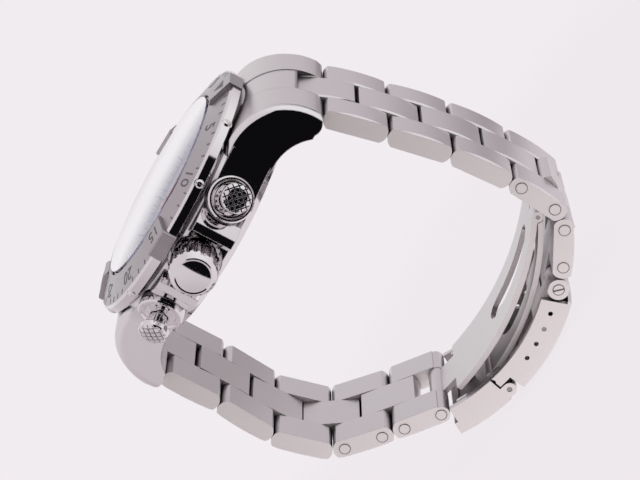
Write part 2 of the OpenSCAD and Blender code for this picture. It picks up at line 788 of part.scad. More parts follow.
module clasp_end_link() {
    ear_r = 1.8;
    body_t = 3;
    color(steel) link_at(upper_pin(11), upper_bend[11], 1) {
        difference() {
            union() {
                both_sides(centre_w / 2 + run_gap, strap_w / 2) intersection() {
                    circle(ear_r);
                    square([10, link_t], center = true);
                }
                across(tongue_w) {
                    translate([0, -body_t / 2]) square([end_link_l, body_t]);
                    translate([end_link_l, 0]) circle(body_t / 2);
                }
            }
            rod([0, 0], centre_end_r + side_gap, centre_w + 2 * run_gap);
            rod([0, 0], pin_d / 2 + eps, 30);
            for (s = [-1, 1]) across(0.9, s * strap_w / 2) circle(pin_head_d / 2 + eps);
            rod([end_link_l, 0], pin_d / 2 + run_gap, 30);
        }
        difference() {
            union() {
                rod([0, 0], pin_d / 2, strap_w - 0.2);
                both_sides(strap_w / 2 - 0.4, strap_w / 2 + 0.06) circle(pin_head_d / 2);
            }
            for (s = [-1, 1]) translate([s * (strap_w / 2 + 0.06), 0, 0]) rotate([30, 0, 0])
                cube([0.4, 0.3, 3], center = true);
        }
    }
}

module clasp_spring_bar() {
    color(dark_steel) {
        rod(upper_pin(12), pin_d / 2, inner_w - 0.1);
        rod(upper_pin(12), adjust_d / 2 - 0.04, strap_w - 0.1);
    }
}

// Part of a ring round the clasp's middle, between two radii and two angles
module sector(r0, r1, t0, t1) {
    steps = 4;
    translate(clasp_mid) intersection() {
        difference() {
            circle(r1, $fn = 180);
            circle(r0, $fn = 180);
        }
        polygon(concat([[0, 0]], [for (k = [0:steps]) 1.2 * r1 * heading(t0 + (t1 - t0) * k / steps)]));
    }
}

module clasp_cover() {
    web = 0.9;
    holes = [for (k = [-1:2]) bar_angle - k * hole_step];
    color(steel) difference() {
        union() {
            both_sides(inner_w / 2, strap_w / 2) difference() {
                sector(cover_inner_r, clasp_r, wall_tail, cover_end);
                sector(latch_r - latch_lobe_r - 0.25, clasp_r + 1, wall_tail - 1, roof_tail);
            }
            across(strap_w) sector(clasp_r - cover_roof, clasp_r, roof_tail, roof_end);
            across(inner_w + 0.2) sector(tongue_r, clasp_r, roof_tail, roof_tail + web * 1.6);
            both_sides(tongue_w / 2 - 0.4, inner_w / 2 + 0.2)
                sector(tongue_r, latch_r - latch_lobe_r - 0.25, wall_tail + 1, roof_tail + web);
            across(tongue_w) {
                sector(tongue_r, tongue_r + tongue_t, tongue_tip, roof_tail + web);
                translate(on_clasp(latch_r, latch_angle)) circle(latch_lobe_r);
            }
            both_sides(tongue_w / 2 - cheek_w, tongue_w / 2)
                sector(cover_inner_r, tongue_r + 0.2, tongue_tip, wall_tail + 3);
        }
        for (t = holes) rod(on_clasp(bar_r, t), adjust_d / 2, 30);
        rod(fold_pin, fold_pin_r + open_gap, 30);
        rod(on_clasp(latch_r, latch_angle), latch_pin_r + eps, 30);
        cover_bow();
    }
}

// The cover's end toward 12 o'clock is cut to a shallow bow
module cover_bow() {
    bow = 1;
    bow_r = (pow(strap_w / 2, 2) + bow * bow) / (2 * bow);
    tip = on_clasp(clasp_r, roof_end);
    difference() {
        translate([-20, tip[0] - 1.2, tip[1] - 2]) cube([40, 6, 3]);
        translate([0, tip[0] + 0.35 - bow_r, tip[1] - 3]) cylinder(r = bow_r, h = 6, $fn = 180);
    }
}

module latch_pin() {
    color(dark_steel) rod(on_clasp(latch_r, latch_angle), latch_pin_r, strap_w - 0.1);
}

module safety_latch() {
    pivot = on_clasp(latch_r, latch_angle);
    lip = 1;
    color(polished) difference() {
        union() {
            both_sides(inner_w / 2, strap_w / 2) {
                sector(cover_inner_r, clasp_r, latch_tip, wall_tail - 0.6);
                sector(latch_r - latch_lobe_r, latch_r + latch_lobe_r, wall_tail - 1, latch_angle);
                translate(pivot) circle(latch_lobe_r);
            }
            across(strap_w) {
                sector(clasp_r - cover_roof, clasp_r, latch_tip, latch_angle - 2.4);
                sector(clasp_r - 2.2, clasp_r, latch_tip - lip, latch_tip + lip);
            }
        }
        rod(pivot, latch_pin_r + run_gap, 30);
    }
}

// Middle of the circle of radius r that passes a and b, on the watch's side of them
function arc_mid(a, b, r) =
    let (m = (a + b) / 2, d = b - a, h = sqrt(r * r - d * d / 4), n = [-d[1], d[0]] / norm(d))
    m + n * h * sign(n[1]);

// A curved strip from a to b
module strip(a, b, r, t) {
    c = arc_mid(a, b, r);
    intersection() {
        translate(c) difference() {
            circle(r + t / 2, $fn = 180);
            circle(r - t / 2, $fn = 180);
        }
        polygon([c, c + 1.3 * (a - c), c + 1.3 * ((a + b) / 2 - c), c + 1.3 * (b - c)]);
    }
}

hinge_split = 3;
blade_shift = blade_knuckle_r - blade_t / 2;
middle_from = blade_hinge - [0, blade_shift];
inner_from = blade_hinge + [0, blade_shift];

module middle_blade() {
    color(steel) difference() {
        union() {
            across(blade_w) strip(middle_from, fold_pin, middle_r, blade_t);
            rod(blade_hinge, blade_knuckle_r, 2 * hinge_split);
            rod(fold_pin, fold_knuckle_r, tongue_w - 2 * cheek_w - 0.2);
            rod(fold_pin, fold_pin_r, tongue_w - 0.1);
        }
        both_sides(hinge_split, blade_w) translate(blade_hinge) circle(blade_knuckle_r + side_gap);
        rod(blade_hinge, blade_pin_r + run_gap, 40);
        blade_window(8);
    }
}

module inner_blade() {
    neck = blade_end + [last_end_r + 3.1, 0];
    stud = on_clasp(tongue_r - 0.2, tongue_tip + 3.4);
    from_mid = stud - arc_mid(inner_from, blade_end, inner_r);
    inward = from_mid * heading(angle_on_clasp(stud));
    stud_h = inward - sqrt(inward * inward + inner_r * inner_r - from_mid * from_mid);
    color(steel) difference() {
        union() {
            across(blade_w) strip(inner_from, blade_end, inner_r, blade_t);
            both_sides(hinge_split + side_gap, blade_w / 2) translate(blade_hinge) circle(blade_knuckle_r);
            rod(blade_end, blade_end_r, centre_w - 2 * run_gap);
            translate([0, stud[0], stud[1]]) rotate([angle_on_clasp(stud), 0, 0]) cylinder(r = 1.1, h = stud_h);
        }
        both_sides(0, hinge_split + side_gap) translate(blade_hinge)
            circle(blade_knuckle_r + side_gap);
        rod(blade_hinge, blade_pin_r + eps, 40);
        rod(blade_end, pin_d / 2 + run_gap, 40);
        both_sides(centre_w / 2 - run_gap, 20) polygon([
            neck + [0, -6], neck + [0, 6], blade_end + [-3, 6], blade_end + [-3, -6]
        ]);
        blade_window(5);
    }
}

// A long rounded window through both blades
module blade_window(w) {
    mid = on_clasp(cover_inner_r, 14);
    translate([0, mid[0], mid[1] - 3]) linear_extrude(14) {
        translate([0, -window_l / 2]) circle(w / 2);
        translate([0, window_l / 2]) circle(w / 2);
        square([w, window_l], center = true);
    }
}

module blade_pin() {
    color(dark_steel) rod(blade_hinge, blade_pin_r, blade_w - 0.1);
}

case_middle();
case_back();
crystal();
crystal_gasket();
crown_tube();
pusher_collars();
end_pieces();
spring_bars();
flange_ring();
dial();
hour_markers();
date_disc();
movement_ring();
main_plate();
train_bridge();
rotor();
bezel();
rider_tabs();
winding_pinion();
crown();
winding_stem();
pusher_2();
pusher_4();
hour_hand();
minute_hand();
chrono_seconds_hand();
small_seconds_hand();
minute_counter_hand();
hour_counter_hand();
for (i = [1:6]) upper_centre(i);
for (i = [1:5]) upper_outer(i);
for (i = [1:5]) lower_centre(i);
for (i = [1:5]) lower_outer(i);
clasp_end_link();
clasp_spring_bar();
clasp_cover();
safety_latch();
latch_pin();
middle_blade();
inner_blade();
blade_pin();
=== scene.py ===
"""Dresses the steel chronograph watch: finishes, scales, numbers, screws, light and camera."""
import json
import math

import bpy
from bpy.props import FloatProperty, FloatVectorProperty, PointerProperty
from mathutils import Matrix, Vector
from mathutils.bvhtree import BVHTree


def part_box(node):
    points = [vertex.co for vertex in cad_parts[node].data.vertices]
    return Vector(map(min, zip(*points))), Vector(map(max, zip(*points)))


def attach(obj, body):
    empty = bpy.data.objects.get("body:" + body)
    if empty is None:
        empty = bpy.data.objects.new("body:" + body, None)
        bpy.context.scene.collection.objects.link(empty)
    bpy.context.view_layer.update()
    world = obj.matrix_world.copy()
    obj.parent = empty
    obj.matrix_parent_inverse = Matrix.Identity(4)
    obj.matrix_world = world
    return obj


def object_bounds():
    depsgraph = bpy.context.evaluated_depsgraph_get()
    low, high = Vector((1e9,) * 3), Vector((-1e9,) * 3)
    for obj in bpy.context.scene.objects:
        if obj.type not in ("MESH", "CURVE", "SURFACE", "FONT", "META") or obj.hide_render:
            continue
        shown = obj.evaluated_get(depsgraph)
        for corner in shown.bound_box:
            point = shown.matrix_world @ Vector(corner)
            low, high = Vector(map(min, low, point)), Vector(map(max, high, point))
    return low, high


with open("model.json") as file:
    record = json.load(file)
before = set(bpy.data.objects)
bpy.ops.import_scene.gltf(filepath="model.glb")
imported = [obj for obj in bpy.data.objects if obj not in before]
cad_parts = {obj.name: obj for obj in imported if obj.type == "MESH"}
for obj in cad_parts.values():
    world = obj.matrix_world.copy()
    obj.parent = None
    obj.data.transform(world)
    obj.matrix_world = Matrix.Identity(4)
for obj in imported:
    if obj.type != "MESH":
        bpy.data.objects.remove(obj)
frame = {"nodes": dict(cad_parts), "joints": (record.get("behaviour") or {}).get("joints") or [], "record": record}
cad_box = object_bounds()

bl_info = {
    "name": "Chronograph watch finishes",
    "version": (1, 0, 0),
    "blender": (4, 5, 0),
    "location": "3D View > Sidebar > Watch",
    "description": "Finishes, scales and small fittings of a steel chronograph watch",
    "category": "Object",
}

MM = 0.001
NODES = frame["nodes"]
JOINTS = {joint["name"]: joint for joint in frame["joints"]}
PHOTO_WIDTH = 640  # pixels
SENSOR = 36  # width of the camera's sensor in Blender's millimetres
EAST, NORTH, UP = Vector((1, 0, 0)), Vector((0, 1, 0)), Vector((0, 0, 1))
ABOVE = 50 * MM  # a height over the case back that is clear of the whole watch
ROOT = 0.1 * MM  # how deep a small fitting reaches into its part
CAP_HEIGHT = 0.72  # height of a digit as a share of its font's size
MINUTE, HOUR = 6, 30  # degrees round the dial
QUARTER = 15  # minutes between two riders
TRACK_PARTS = 4  # parts of a minute on the dial's track
LONG_MARKS = 6  # long marks on each counter
DAYS, FIRST_DAY = 31, 90  # numbers on the date disc, and the dial angle of the first
TICK_TAPER, FILL_TAPER = 0.7, 0.35  # width of a mark's head as a share of its foot's
DOME_RINGS = (0, 18, 36, 54, 72)  # degrees from a screw's rim to each ring of its dome
SLOT_STEP = 50  # degrees that each hour turns a screw's slot further

# Spans over which one finish gives way to the next, in the normal's part along an axis
LINK_BEVEL = (0.3, 0.45)
LINK_SIDE = (0.85, 0.95)
CASE_FLANK = (0.16, 0.4)
BEZEL_SLOPE = (0.75, 0.85)
CROWN_CAP = (0.97, 0.995)

# Length and width of printed marks, the longest first
TRACK_MARKS = (0.9 * MM, 0.16 * MM), (0.6 * MM, 0.07 * MM), (0.35 * MM, 0.04 * MM)
COUNTER_MARKS = (0.6 * MM, 0.1 * MM), (0.35 * MM, 0.05 * MM)
FLANGE_MARKS = (0.75 * MM, 0.3 * MM), (0.45 * MM, 0.14 * MM)

# Dial angle, number of marks and numbers of each counter
COUNTERS = (0, 30, ("10", "20", "30")), (180, 24, ("4", "8", "12")), (270, 60, ("20", "40", "60"))

# Start from the axis, length and width of the luminous filling of each hand
HAND_FILLS = {"hour_hand": (3.0 * MM, 4.2 * MM, 0.55 * MM),
              "minute_hand": (4.5 * MM, 6.6 * MM, 0.5 * MM)}

# The pivots whose pin heads show on each link
PIN_HEADS = {
    "upper_outer_4": ("upper_outer_4_pivot", "upper_centre_5_pivot"),
    "upper_outer_5": ("upper_outer_5_pivot", "upper_centre_6_pivot"),
    "clasp_end_link": ("clasp_end_link_pivot",),
    "lower_outer_4": ("lower_outer_4_pivot", "lower_centre_5_pivot"),
    "lower_outer_5": ("lower_outer_5_pivot", "inner_blade_pivot"),
}

# Patches of the light tent: azimuth, elevation, half width and half height in degrees, and the
# share of that size at which the patch starts to fade
OPENING = (24, -4, 41, 35, 0.95)
LAMP = (98, 10, 50, 60, 0.3)
FAR_LAMP = (201, 18, 40, 22, 0.5)
SHADE = (-85, -30, 75, 60, 0.2)
FAR_SHADE = (165, -22, 32, 24, 0.2)


def linear(code):
    """An sRGB hex colour as linear red, green and blue."""
    parts = [int(code[i:i + 2], 16) / 255 for i in (1, 3, 5)]
    return [p / 12.92 if p <= 0.04045 else ((p + 0.055) / 1.055) ** 2.4 for p in parts]


def colour_property(name, description, code):
    return FloatVectorProperty(name=name, description=description, default=linear(code), size=3,
                               min=0, max=1, subtype="COLOR")


def length_property(name, description, millimetres):
    return FloatProperty(name=name, description=description, default=millimetres * MM,
                         subtype="DISTANCE", unit="LENGTH", precision=5)


def angle_property(name, description, degrees):
    return FloatProperty(name=name, description=description, default=math.radians(degrees),
                         subtype="ANGLE", unit="ROTATION")


class FinishSettings(bpy.types.PropertyGroup):
    """Colours and grain of the watch's metals, glass and lacquers."""
    satin: colour_property("Satin steel", "Colour of brushed stainless steel", "#D2CDCF")
    mirror: colour_property("Mirror steel", "Colour of polished stainless steel", "#E6E2E4")
    hidden: colour_property("Turned steel", "Colour of pins and bars", "#A39F9E")
    # Painted light: the sides are painted paler than the tops to stand in for the light they catch
    flank: colour_property("Side steel", "Colour of the links' brushed side faces", "#FFFAF8")
    slope: colour_property("Bezel steel", "Colour of the bezel's brushed slope", "#B0AAAD")
    # This dark grey is also the painted shade of the grooves round the pin heads
    etch: colour_property("Etched steel", "Colour of the bezel's cut numbers", "#757073")
    glass: colour_property("Sapphire", "Colour of the sheen on the crystal", "#FBF8FB")
    crystal: colour_property("Clear sapphire", "Tint of light that passes the crystal", "#EFEFF4")
    brass: colour_property("Gilt brass", "Colour of the movement's plate", "#C9B07A")
    nylon: colour_property("Nylon", "Colour of the crystal's gasket", "#DEDDD8")
    acetal: colour_property("Acetal", "Colour of the movement ring", "#C9C9C4")
    dial: colour_property("Silvered dial", "Colour of the dial", "#E9E9EC")
    enamel: colour_property("Enamel", "Colour of the flange ring", "#DADAE0")
    dark: colour_property("Dark lacquer", "Colour of the hands", "#2A2A30")
    red: colour_property("Red lacquer", "Colour of the chronograph seconds hand", "#A81F1C")
    glow: colour_property("Luminous paint", "Colour of the luminous fillings", "#E4EBD2")
    ink: colour_property("Printing ink", "Colour of the printed scales", "#34343C")
    scale_ink: colour_property("Flange ink", "Colour of the scale on the flange", "#8A8FC0")
    grain: length_property("Grain width", "Width of one brushing scratch", 0.09)
    edge: length_property("Edge radius", "Radius of the soft edges on steel parts", 0.09)
    gap: length_property("Gap width", "How near two steel faces shade each other", 1.1)
    haze: length_property("Haze", "Size of the wiping marks on polished steel", 1.5)
    wave: length_property("Wave", "Length of the gentle waves in polished steel", 7.0)
    wave_height: length_property("Wave height", "Height of the waves in polished steel", 0.12)
    cap_radius: length_property("Cap radius", "Radius of the crown's domed cap", 3.0)
    cap_slope: angle_property("Cap slope", "Slope of the crown's cap at its rim", 14)


class ScaleSettings(bpy.types.PropertyGroup):
    """Sizes of the scales, numbers and small fittings."""
    relief: length_property("Relief", "How far a cut mark stands over its face", 0.03)
    print_relief: length_property("Print", "Thickness of printed marks", 0.012)
    number_size: length_property("Bezel number", "Height of the bezel's numbers", 2.3)
    number_radius: length_property("Number radius", "Radius of the bezel numbers' middle", 19.1)
    tick_outer: length_property("Tick radius", "Radius of the bezel ticks' outer end", 21.3)
    tick_length: length_property("Tick length", "Length of a bezel tick", 0.85)
    tick_width: length_property("Tick width", "Width of a bezel tick", 0.26)
    rider_number: length_property("Rider number", "Height of the riders' numbers", 2.1)
    rider_inset: length_property("Rider inset", "From a rider's end to its number", 2.35)
    arrow_width: length_property("Arrow width", "Width of the arrow at 12 o'clock", 2.6)
    arrow_height: length_property("Arrow height", "Height of the arrow at 12 o'clock", 2.0)
    screw_radius: length_property("Screw", "Radius of a bezel set screw", 0.85)
    screw_height: length_property("Screw height", "Height of the screws over the case back", 11.0)
    screw_out: length_property("Screw head", "How far a screw's head stands out", 0.42)
    screw_slot: length_property("Screw slot", "Width of a screw's slot", 0.16)
    screw_inset: length_property("Screw inset", "From the flank's widest point to a seat", 0.02)
    track_margin: length_property("Track margin", "From the dial's edge to its track", 1.0)
    counter_radius: length_property("Counter", "Radius of a counter's track", 3.3)
    counter_number: length_property("Counter number", "Font size on the counters", 1.2)
    counter_number_radius: length_property("Counter number radius",
                                           "Radius of a counter's numbers", 2.1)
    flange_radius: length_property("Flange scale", "Radius where the flange's marks start", 14.25)
    marker_radius: length_property("Marker", "Radius at which a marker's filling starts", 11.05)
    marker_length: length_property("Marker length", "Length of a marker's filling", 2.1)
    marker_width: length_property("Marker width", "Width of a marker's filling", 0.5)
    date_radius: length_property("Date radius", "Radius of the date numbers' middle", 11.3)
    date_number: length_property("Date number", "Font size on the date disc", 1.7)
    groove_inner: length_property("Groove", "Inner radius of the groove round a pin head", 0.87)
    groove_outer: length_property("Groove edge", "Outer radius of that groove", 0.97)
    groove_height: length_property("Groove height", "Thickness of the groove's ring", 0.02)


class StageSettings(bpy.types.PropertyGroup):
    """Camera, floor and light."""
    azimuth: angle_property("Azimuth", "Direction of the view's axis from +X toward +Y", 21.55)
    elevation: angle_property("Elevation", "Height of the view's axis over the dial's plane", 12.43)
    roll: angle_property("Roll", "Turn of the camera about the view's axis", -62.16)
    position: FloatVectorProperty(name="Camera", description="Where the camera stands", size=3,
                                  default=(0.3531, 0.1440, 0.0694), subtype="TRANSLATION",
                                  unit="LENGTH")
    focal_pixels: FloatProperty(name="Focal length", default=2363.0, min=1,
                                description="Focal length in pixels of a 640 pixel wide picture")
    floor_gap: length_property("Floor gap", "Gap between the lowest part and the floor", 0.4)
    floor_radius: length_property("Floor radius", "Radius at which the floor has faded out", 125)
    floor_thickness: length_property("Floor thickness", "Thickness of the floor", 0.2)
    backdrop: colour_property("Backdrop", "Colour of the floor and the backdrop", "#F1ECF0")
    tent: colour_property("Tent", "Colour of the light tent", "#E9E4E8")
    lamp: colour_property("Lamp", "Colour of the tent where a lamp shines on it", "#FFFFFF")
    shade: colour_property("Shade", "Colour of the tent's shaded side", "#CDC4C8")
    far_shade: colour_property("Far shade", "Colour of the tent behind the bracelet", "#A0969A")
    opening: colour_property("Opening", "Colour of the opening toward the camera", "#0F0E11")
    light: FloatProperty(name="Light", description="Strength of the surrounding light",
                         default=0.95, min=0)


# Nodes and materials

def add(tree, kind, inputs=(), **settings):
    """Adds a node with its settings, values and links, and returns it."""
    node = tree.nodes.new(kind)
    for key, value in settings.items():
        setattr(node, key, value)
    for key, value in dict(inputs).items():
        if isinstance(value, bpy.types.NodeSocket):
            tree.links.new(value, node.inputs[key])
        else:
            node.inputs[key].default_value = value
    return node


def new_material(name):
    """An empty material and its node tree."""
    material = bpy.data.materials.new(name)
    material.use_nodes = True
    material.node_tree.nodes.clear()
    return material, material.node_tree


def rgba(colour):
    return (*colour, 1.0)


def brushing(tree, grain, across_x=True, stretch=50, arcs=9.0):
    """Scratches that run along the bracelet, or round the dial's axis, at their real width."""
    place = add(tree, "ShaderNodeTexCoord").outputs["Object"]
    if across_x:
        along = 1 / (grain * stretch)
        lines = add(tree, "ShaderNodeMapping", {"Vector": place,
                                                "Scale": (1 / grain, along, along)})
        return add(tree, "ShaderNodeTexNoise", {"Vector": lines.outputs[0], "Scale": 1.0,
                                                "Detail": 3.0})
    part = add(tree, "ShaderNodeSeparateXYZ", {0: place})
    flat = add(tree, "ShaderNodeCombineXYZ", {0: part.outputs[0], 1: part.outputs[1]})
    radius = add(tree, "ShaderNodeVectorMath", {0: flat.outputs[0]}, operation="LENGTH")
    turn = add(tree, "ShaderNodeMath", {0: part.outputs[1], 1: part.outputs[0]},
               operation="ARCTAN2")
    rings = add(tree, "ShaderNodeMath", {0: radius.outputs["Value"], 1: 1 / grain},
                operation="MULTIPLY")
    sweep = add(tree, "ShaderNodeMath", {0: turn.outputs[0], 1: arcs}, operation="MULTIPLY")
    polar = add(tree, "ShaderNodeCombineXYZ", {0: rings.outputs[0], 1: sweep.outputs[0]})
    return add(tree, "ShaderNodeTexNoise", {"Vector": polar.outputs[0], "Scale": 1.0,
                                            "Detail": 3.0})


def in_gaps(tree, colour, reach, dark=0.16):
    """A colour that falls to a dark tone of painted shade where two faces stand close together."""
    free = add(tree, "ShaderNodeAmbientOcclusion", {"Distance": reach}, samples=4).outputs["AO"]
    depth = add(tree, "ShaderNodeMapRange", {"Value": free, "From Min": 0.15, "From Max": 0.75},
                interpolation_type="SMOOTHSTEP")
    return add(tree, "ShaderNodeMixRGB", {0: depth.outputs[0], 1: rgba([c * dark for c in colour]),
                                          2: rgba(colour)}).outputs[0]


def satin_shader(tree, colour, grain, edge, roughness=0.34, across_x=True, reach=None):
    """Brushed steel: fine scratches in the gloss and the surface, over soft edges, and painted shade where faces
    stand close when a reach is given.
    """
    scratch = brushing(tree, grain, across_x).outputs["Fac"]
    tone = in_gaps(tree, colour, reach) if reach else rgba(colour)
    soft = add(tree, "ShaderNodeBevel", {"Radius": edge}, samples=4)
    bump = add(tree, "ShaderNodeBump", {"Height": scratch, "Strength": 0.25,
                                        "Distance": grain * 0.1, "Normal": soft.outputs[0]})
    spread = 0.07
    gloss = add(tree, "ShaderNodeMapRange", {"Value": scratch, "To Min": roughness - spread,
                                             "To Max": roughness + spread})
    return add(tree, "ShaderNodeBsdfPrincipled", {
        "Base Color": tone, "Metallic": 1.0, "Roughness": gloss.outputs[0],
        "Normal": bump.outputs[0]}).outputs[0]


def mirror_shader(tree, s, edge, roughness=0.05, normal=None, reach=None):
    """Polished steel: a near mirror with gentle waves and the faint haze of wiping marks, and painted shade where
    faces stand close when a reach is given.
    """
    place = add(tree, "ShaderNodeTexCoord").outputs["Object"]
    haze = add(tree, "ShaderNodeTexNoise", {"Vector": place, "Scale": 1 / s.haze, "Detail": 4.0})
    gloss = add(tree, "ShaderNodeMapRange", {
        "Value": haze.outputs["Fac"], "To Min": roughness * 0.7, "To Max": roughness * 1.5})
    soft = add(tree, "ShaderNodeBevel", {"Radius": edge}, samples=4)
    wave = add(tree, "ShaderNodeTexNoise", {"Vector": place, "Scale": 1 / s.wave, "Detail": 1.0})
    bump = add(tree, "ShaderNodeBump", {"Height": wave.outputs["Fac"], "Distance": s.wave_height,
                                        "Strength": 0.35, "Normal": normal or soft.outputs[0]})
    tone = in_gaps(tree, s.mirror, reach) if reach else rgba(s.mirror)
    return add(tree, "ShaderNodeBsdfPrincipled", {
        "Base Color": tone, "Metallic": 1.0, "Roughness": gloss.outputs[0],
        "Normal": bump.outputs[0]}).outputs[0]


def facing(tree, axis, low, high):
    """A mask that rises from 0 to 1 as a face turns to an axis of the watch, either way."""
    normal = add(tree, "ShaderNodeTexCoord").outputs["Normal"]
    part = add(tree, "ShaderNodeSeparateXYZ", {0: normal}).outputs[axis]
    size = add(tree, "ShaderNodeMath", {0: part}, operation="ABSOLUTE")
    return add(tree, "ShaderNodeMapRange", {
        "Value": size.outputs[0], "From Min": low, "From Max": high},
        interpolation_type="SMOOTHSTEP").outputs[0]


def brushed_link_steel(s):
    # Stainless steel brushed along the bracelet: grey sheen on top, rougher sides painted paler as painted light,
    # bright thin bevels and painted shade in the gaps
    material, tree = new_material("Stainless steel, brushed links")
    top = satin_shader(tree, s.satin, s.grain, s.edge, reach=s.gap)
    # The sides' pale colour is painted light: they are painted as faces that catch more light than the tops
    side = satin_shader(tree, s.flank, s.grain, s.edge, roughness=0.62, reach=s.gap)
    bevel = mirror_shader(tree, s, s.edge * 0.5, roughness=0.12)
    edged = add(tree, "ShaderNodeMixShader", {0: facing(tree, 0, *LINK_BEVEL), 1: top, 2: bevel})
    skin = add(tree, "ShaderNodeMixShader", {0: facing(tree, 0, *LINK_SIDE), 1: edged.outputs[0],
                                             2: side})
    add(tree, "ShaderNodeOutputMaterial", {"Surface": skin.outputs[0]})
    return material


def case_steel(s):
    # Stainless steel case: brushed crests with a soft sheen, mirror polished flanks and guards
    # that show black and white, and painted shade in its crevices and gaps
    material, tree = new_material("Stainless steel, brushed and polished case")
    satin = satin_shader(tree, s.satin, s.grain, s.edge * 8, reach=s.gap)
    mirror = mirror_shader(tree, s, s.edge * 2, reach=s.gap * 1.6)
    skin = add(tree, "ShaderNodeMixShader", {0: facing(tree, 0, *CASE_FLANK), 1: satin,
                                             2: mirror})
    add(tree, "ShaderNodeOutputMaterial", {"Surface": skin.outputs[0]})
    return material


def bezel_steel(s):
    # Stainless steel bezel: slope brushed round the dial and grey, flank and lip mirror polished
    material, tree = new_material("Stainless steel, brushed and polished bezel")
    satin = satin_shader(tree, s.slope, s.grain, s.edge, across_x=False)
    mirror = mirror_shader(tree, s, s.edge)
    skin = add(tree, "ShaderNodeMixShader", {0: facing(tree, 2, *BEZEL_SLOPE), 1: mirror,
                                             2: satin})
    add(tree, "ShaderNodeOutputMaterial", {"Surface": skin.outputs[0]})
    return material


def rider_steel(s):
    # Stainless steel riders: brushed all over, greyer than the polished flank beside them
    material, tree = new_material("Stainless steel, brushed riders")
    skin = satin_shader(tree, s.slope, s.grain, s.edge, across_x=False)
    add(tree, "ShaderNodeOutputMaterial", {"Surface": skin})
    return material


def polished_steel(s):
    # Stainless steel polished on a felt wheel: clear dark and bright reflections
    material, tree = new_material("Stainless steel, mirror polished")
    skin = mirror_shader(tree, s, s.edge * 0.7)
    add(tree, "ShaderNodeOutputMaterial", {"Surface": skin})
    return material


def crown_steel(s):
    # Stainless steel crown: mirror polished, its cap domed a little so that it shows a dark
    # half and a light half
    material, tree = new_material("Stainless steel, polished crown")
    place = add(tree, "ShaderNodeTexCoord").outputs["Object"]
    part = add(tree, "ShaderNodeSeparateXYZ", {0: place})
    low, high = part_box("crown")
    height = add(tree, "ShaderNodeMath", {0: part.outputs[2], 1: -(low.z + high.z) / 2},
                 operation="ADD")
    offset = add(tree, "ShaderNodeCombineXYZ", {1: part.outputs[1], 2: height.outputs[0]})
    dome = add(tree, "ShaderNodeVectorMath", {0: offset.outputs[0],
                                              "Scale": math.sin(s.cap_slope) / s.cap_radius},
               operation="SCALE")
    lean = add(tree, "ShaderNodeVectorMath", {0: dome.outputs[0],
                                              "Scale": facing(tree, 0, *CROWN_CAP)},
               operation="SCALE")
    face = add(tree, "ShaderNodeBevel", {"Radius": s.edge * 0.7}, samples=4)
    bent = add(tree, "ShaderNodeVectorMath", {0: face.outputs[0], 1: lean.outputs[0]},
               operation="ADD")
    smooth = add(tree, "ShaderNodeVectorMath", {0: bent.outputs[0]}, operation="NORMALIZE")
    skin = mirror_shader(tree, s, s.edge * 0.7, normal=smooth.outputs[0])
    add(tree, "ShaderNodeOutputMaterial", {"Surface": skin})
    return material


def turned_steel(s):
    # Hardened steel turned on a lathe: fine rings and a greyer tone
    material, tree = new_material("Hardened steel, turned")
    skin = satin_shader(tree, s.hidden, s.grain, s.edge * 0.4, roughness=0.26)
    add(tree, "ShaderNodeOutputMaterial", {"Surface": skin})
    return material


def gilt_brass(s):
    # Brass plate, grained in circles and gilt: warm rings of light
    material, tree = new_material("Brass, circular grained and gilt")
    skin = satin_shader(tree, s.brass, s.grain, s.edge * 0.4, roughness=0.3, across_x=False)
    add(tree, "ShaderNodeOutputMaterial", {"Surface": skin})
    return material


def sapphire_glass(s):
    # Synthetic sapphire, ground to a low dome and coated: clear from above, a white sheen at
    # low angles. Shadow and diffuse rays, and rays from inside, pass it freely
    material, tree = new_material("Sapphire, ground and coated")
    place = add(tree, "ShaderNodeTexCoord").outputs["Object"]
    wipe = add(tree, "ShaderNodeTexNoise", {"Vector": place, "Scale": 1 / (6 * MM)})
    gloss = add(tree, "ShaderNodeMapRange", {"Value": wipe.outputs["Fac"], "To Min": 0.02,
                                             "To Max": 0.06})
    sheen = add(tree, "ShaderNodeBsdfAnisotropic", {"Color": rgba(s.glass),
                                                    "Roughness": gloss.outputs[0]})
    clear = add(tree, "ShaderNodeBsdfTransparent", {"Color": rgba(s.crystal)})
    slant = add(tree, "ShaderNodeLayerWeight", {"Blend": 0.5}).outputs["Facing"]
    low = add(tree, "ShaderNodeMapRange", {"Value": slant, "From Min": 0.765, "From Max": 0.85,
                                           "To Min": 0.1, "To Max": 0.94},
              interpolation_type="SMOOTHSTEP")
    coated = add(tree, "ShaderNodeFresnel", {"IOR": 1.5})
    share = add(tree, "ShaderNodeMath", {0: low.outputs[0], 1: coated.outputs[0]},
                operation="MAXIMUM")
    path = add(tree, "ShaderNodeLightPath")
    lit = add(tree, "ShaderNodeMath", {0: path.outputs["Is Shadow Ray"],
                                       1: path.outputs["Is Diffuse Ray"]}, operation="MAXIMUM")
    back = add(tree, "ShaderNodeNewGeometry").outputs["Backfacing"]
    inside = add(tree, "ShaderNodeMath", {0: lit.outputs[0], 1: back}, operation="MAXIMUM")
    outer = add(tree, "ShaderNodeMath", {0: 1.0, 1: inside.outputs[0]}, operation="SUBTRACT")
    shine = add(tree, "ShaderNodeMath", {0: share.outputs[0], 1: outer.outputs[0]},
                operation="MULTIPLY")
    skin = add(tree, "ShaderNodeMixShader", {0: shine.outputs[0], 1: clear.outputs[0],
                                             2: sheen.outputs[0]})
    add(tree, "ShaderNodeOutputMaterial", {"Surface": skin.outputs[0]})
    return material


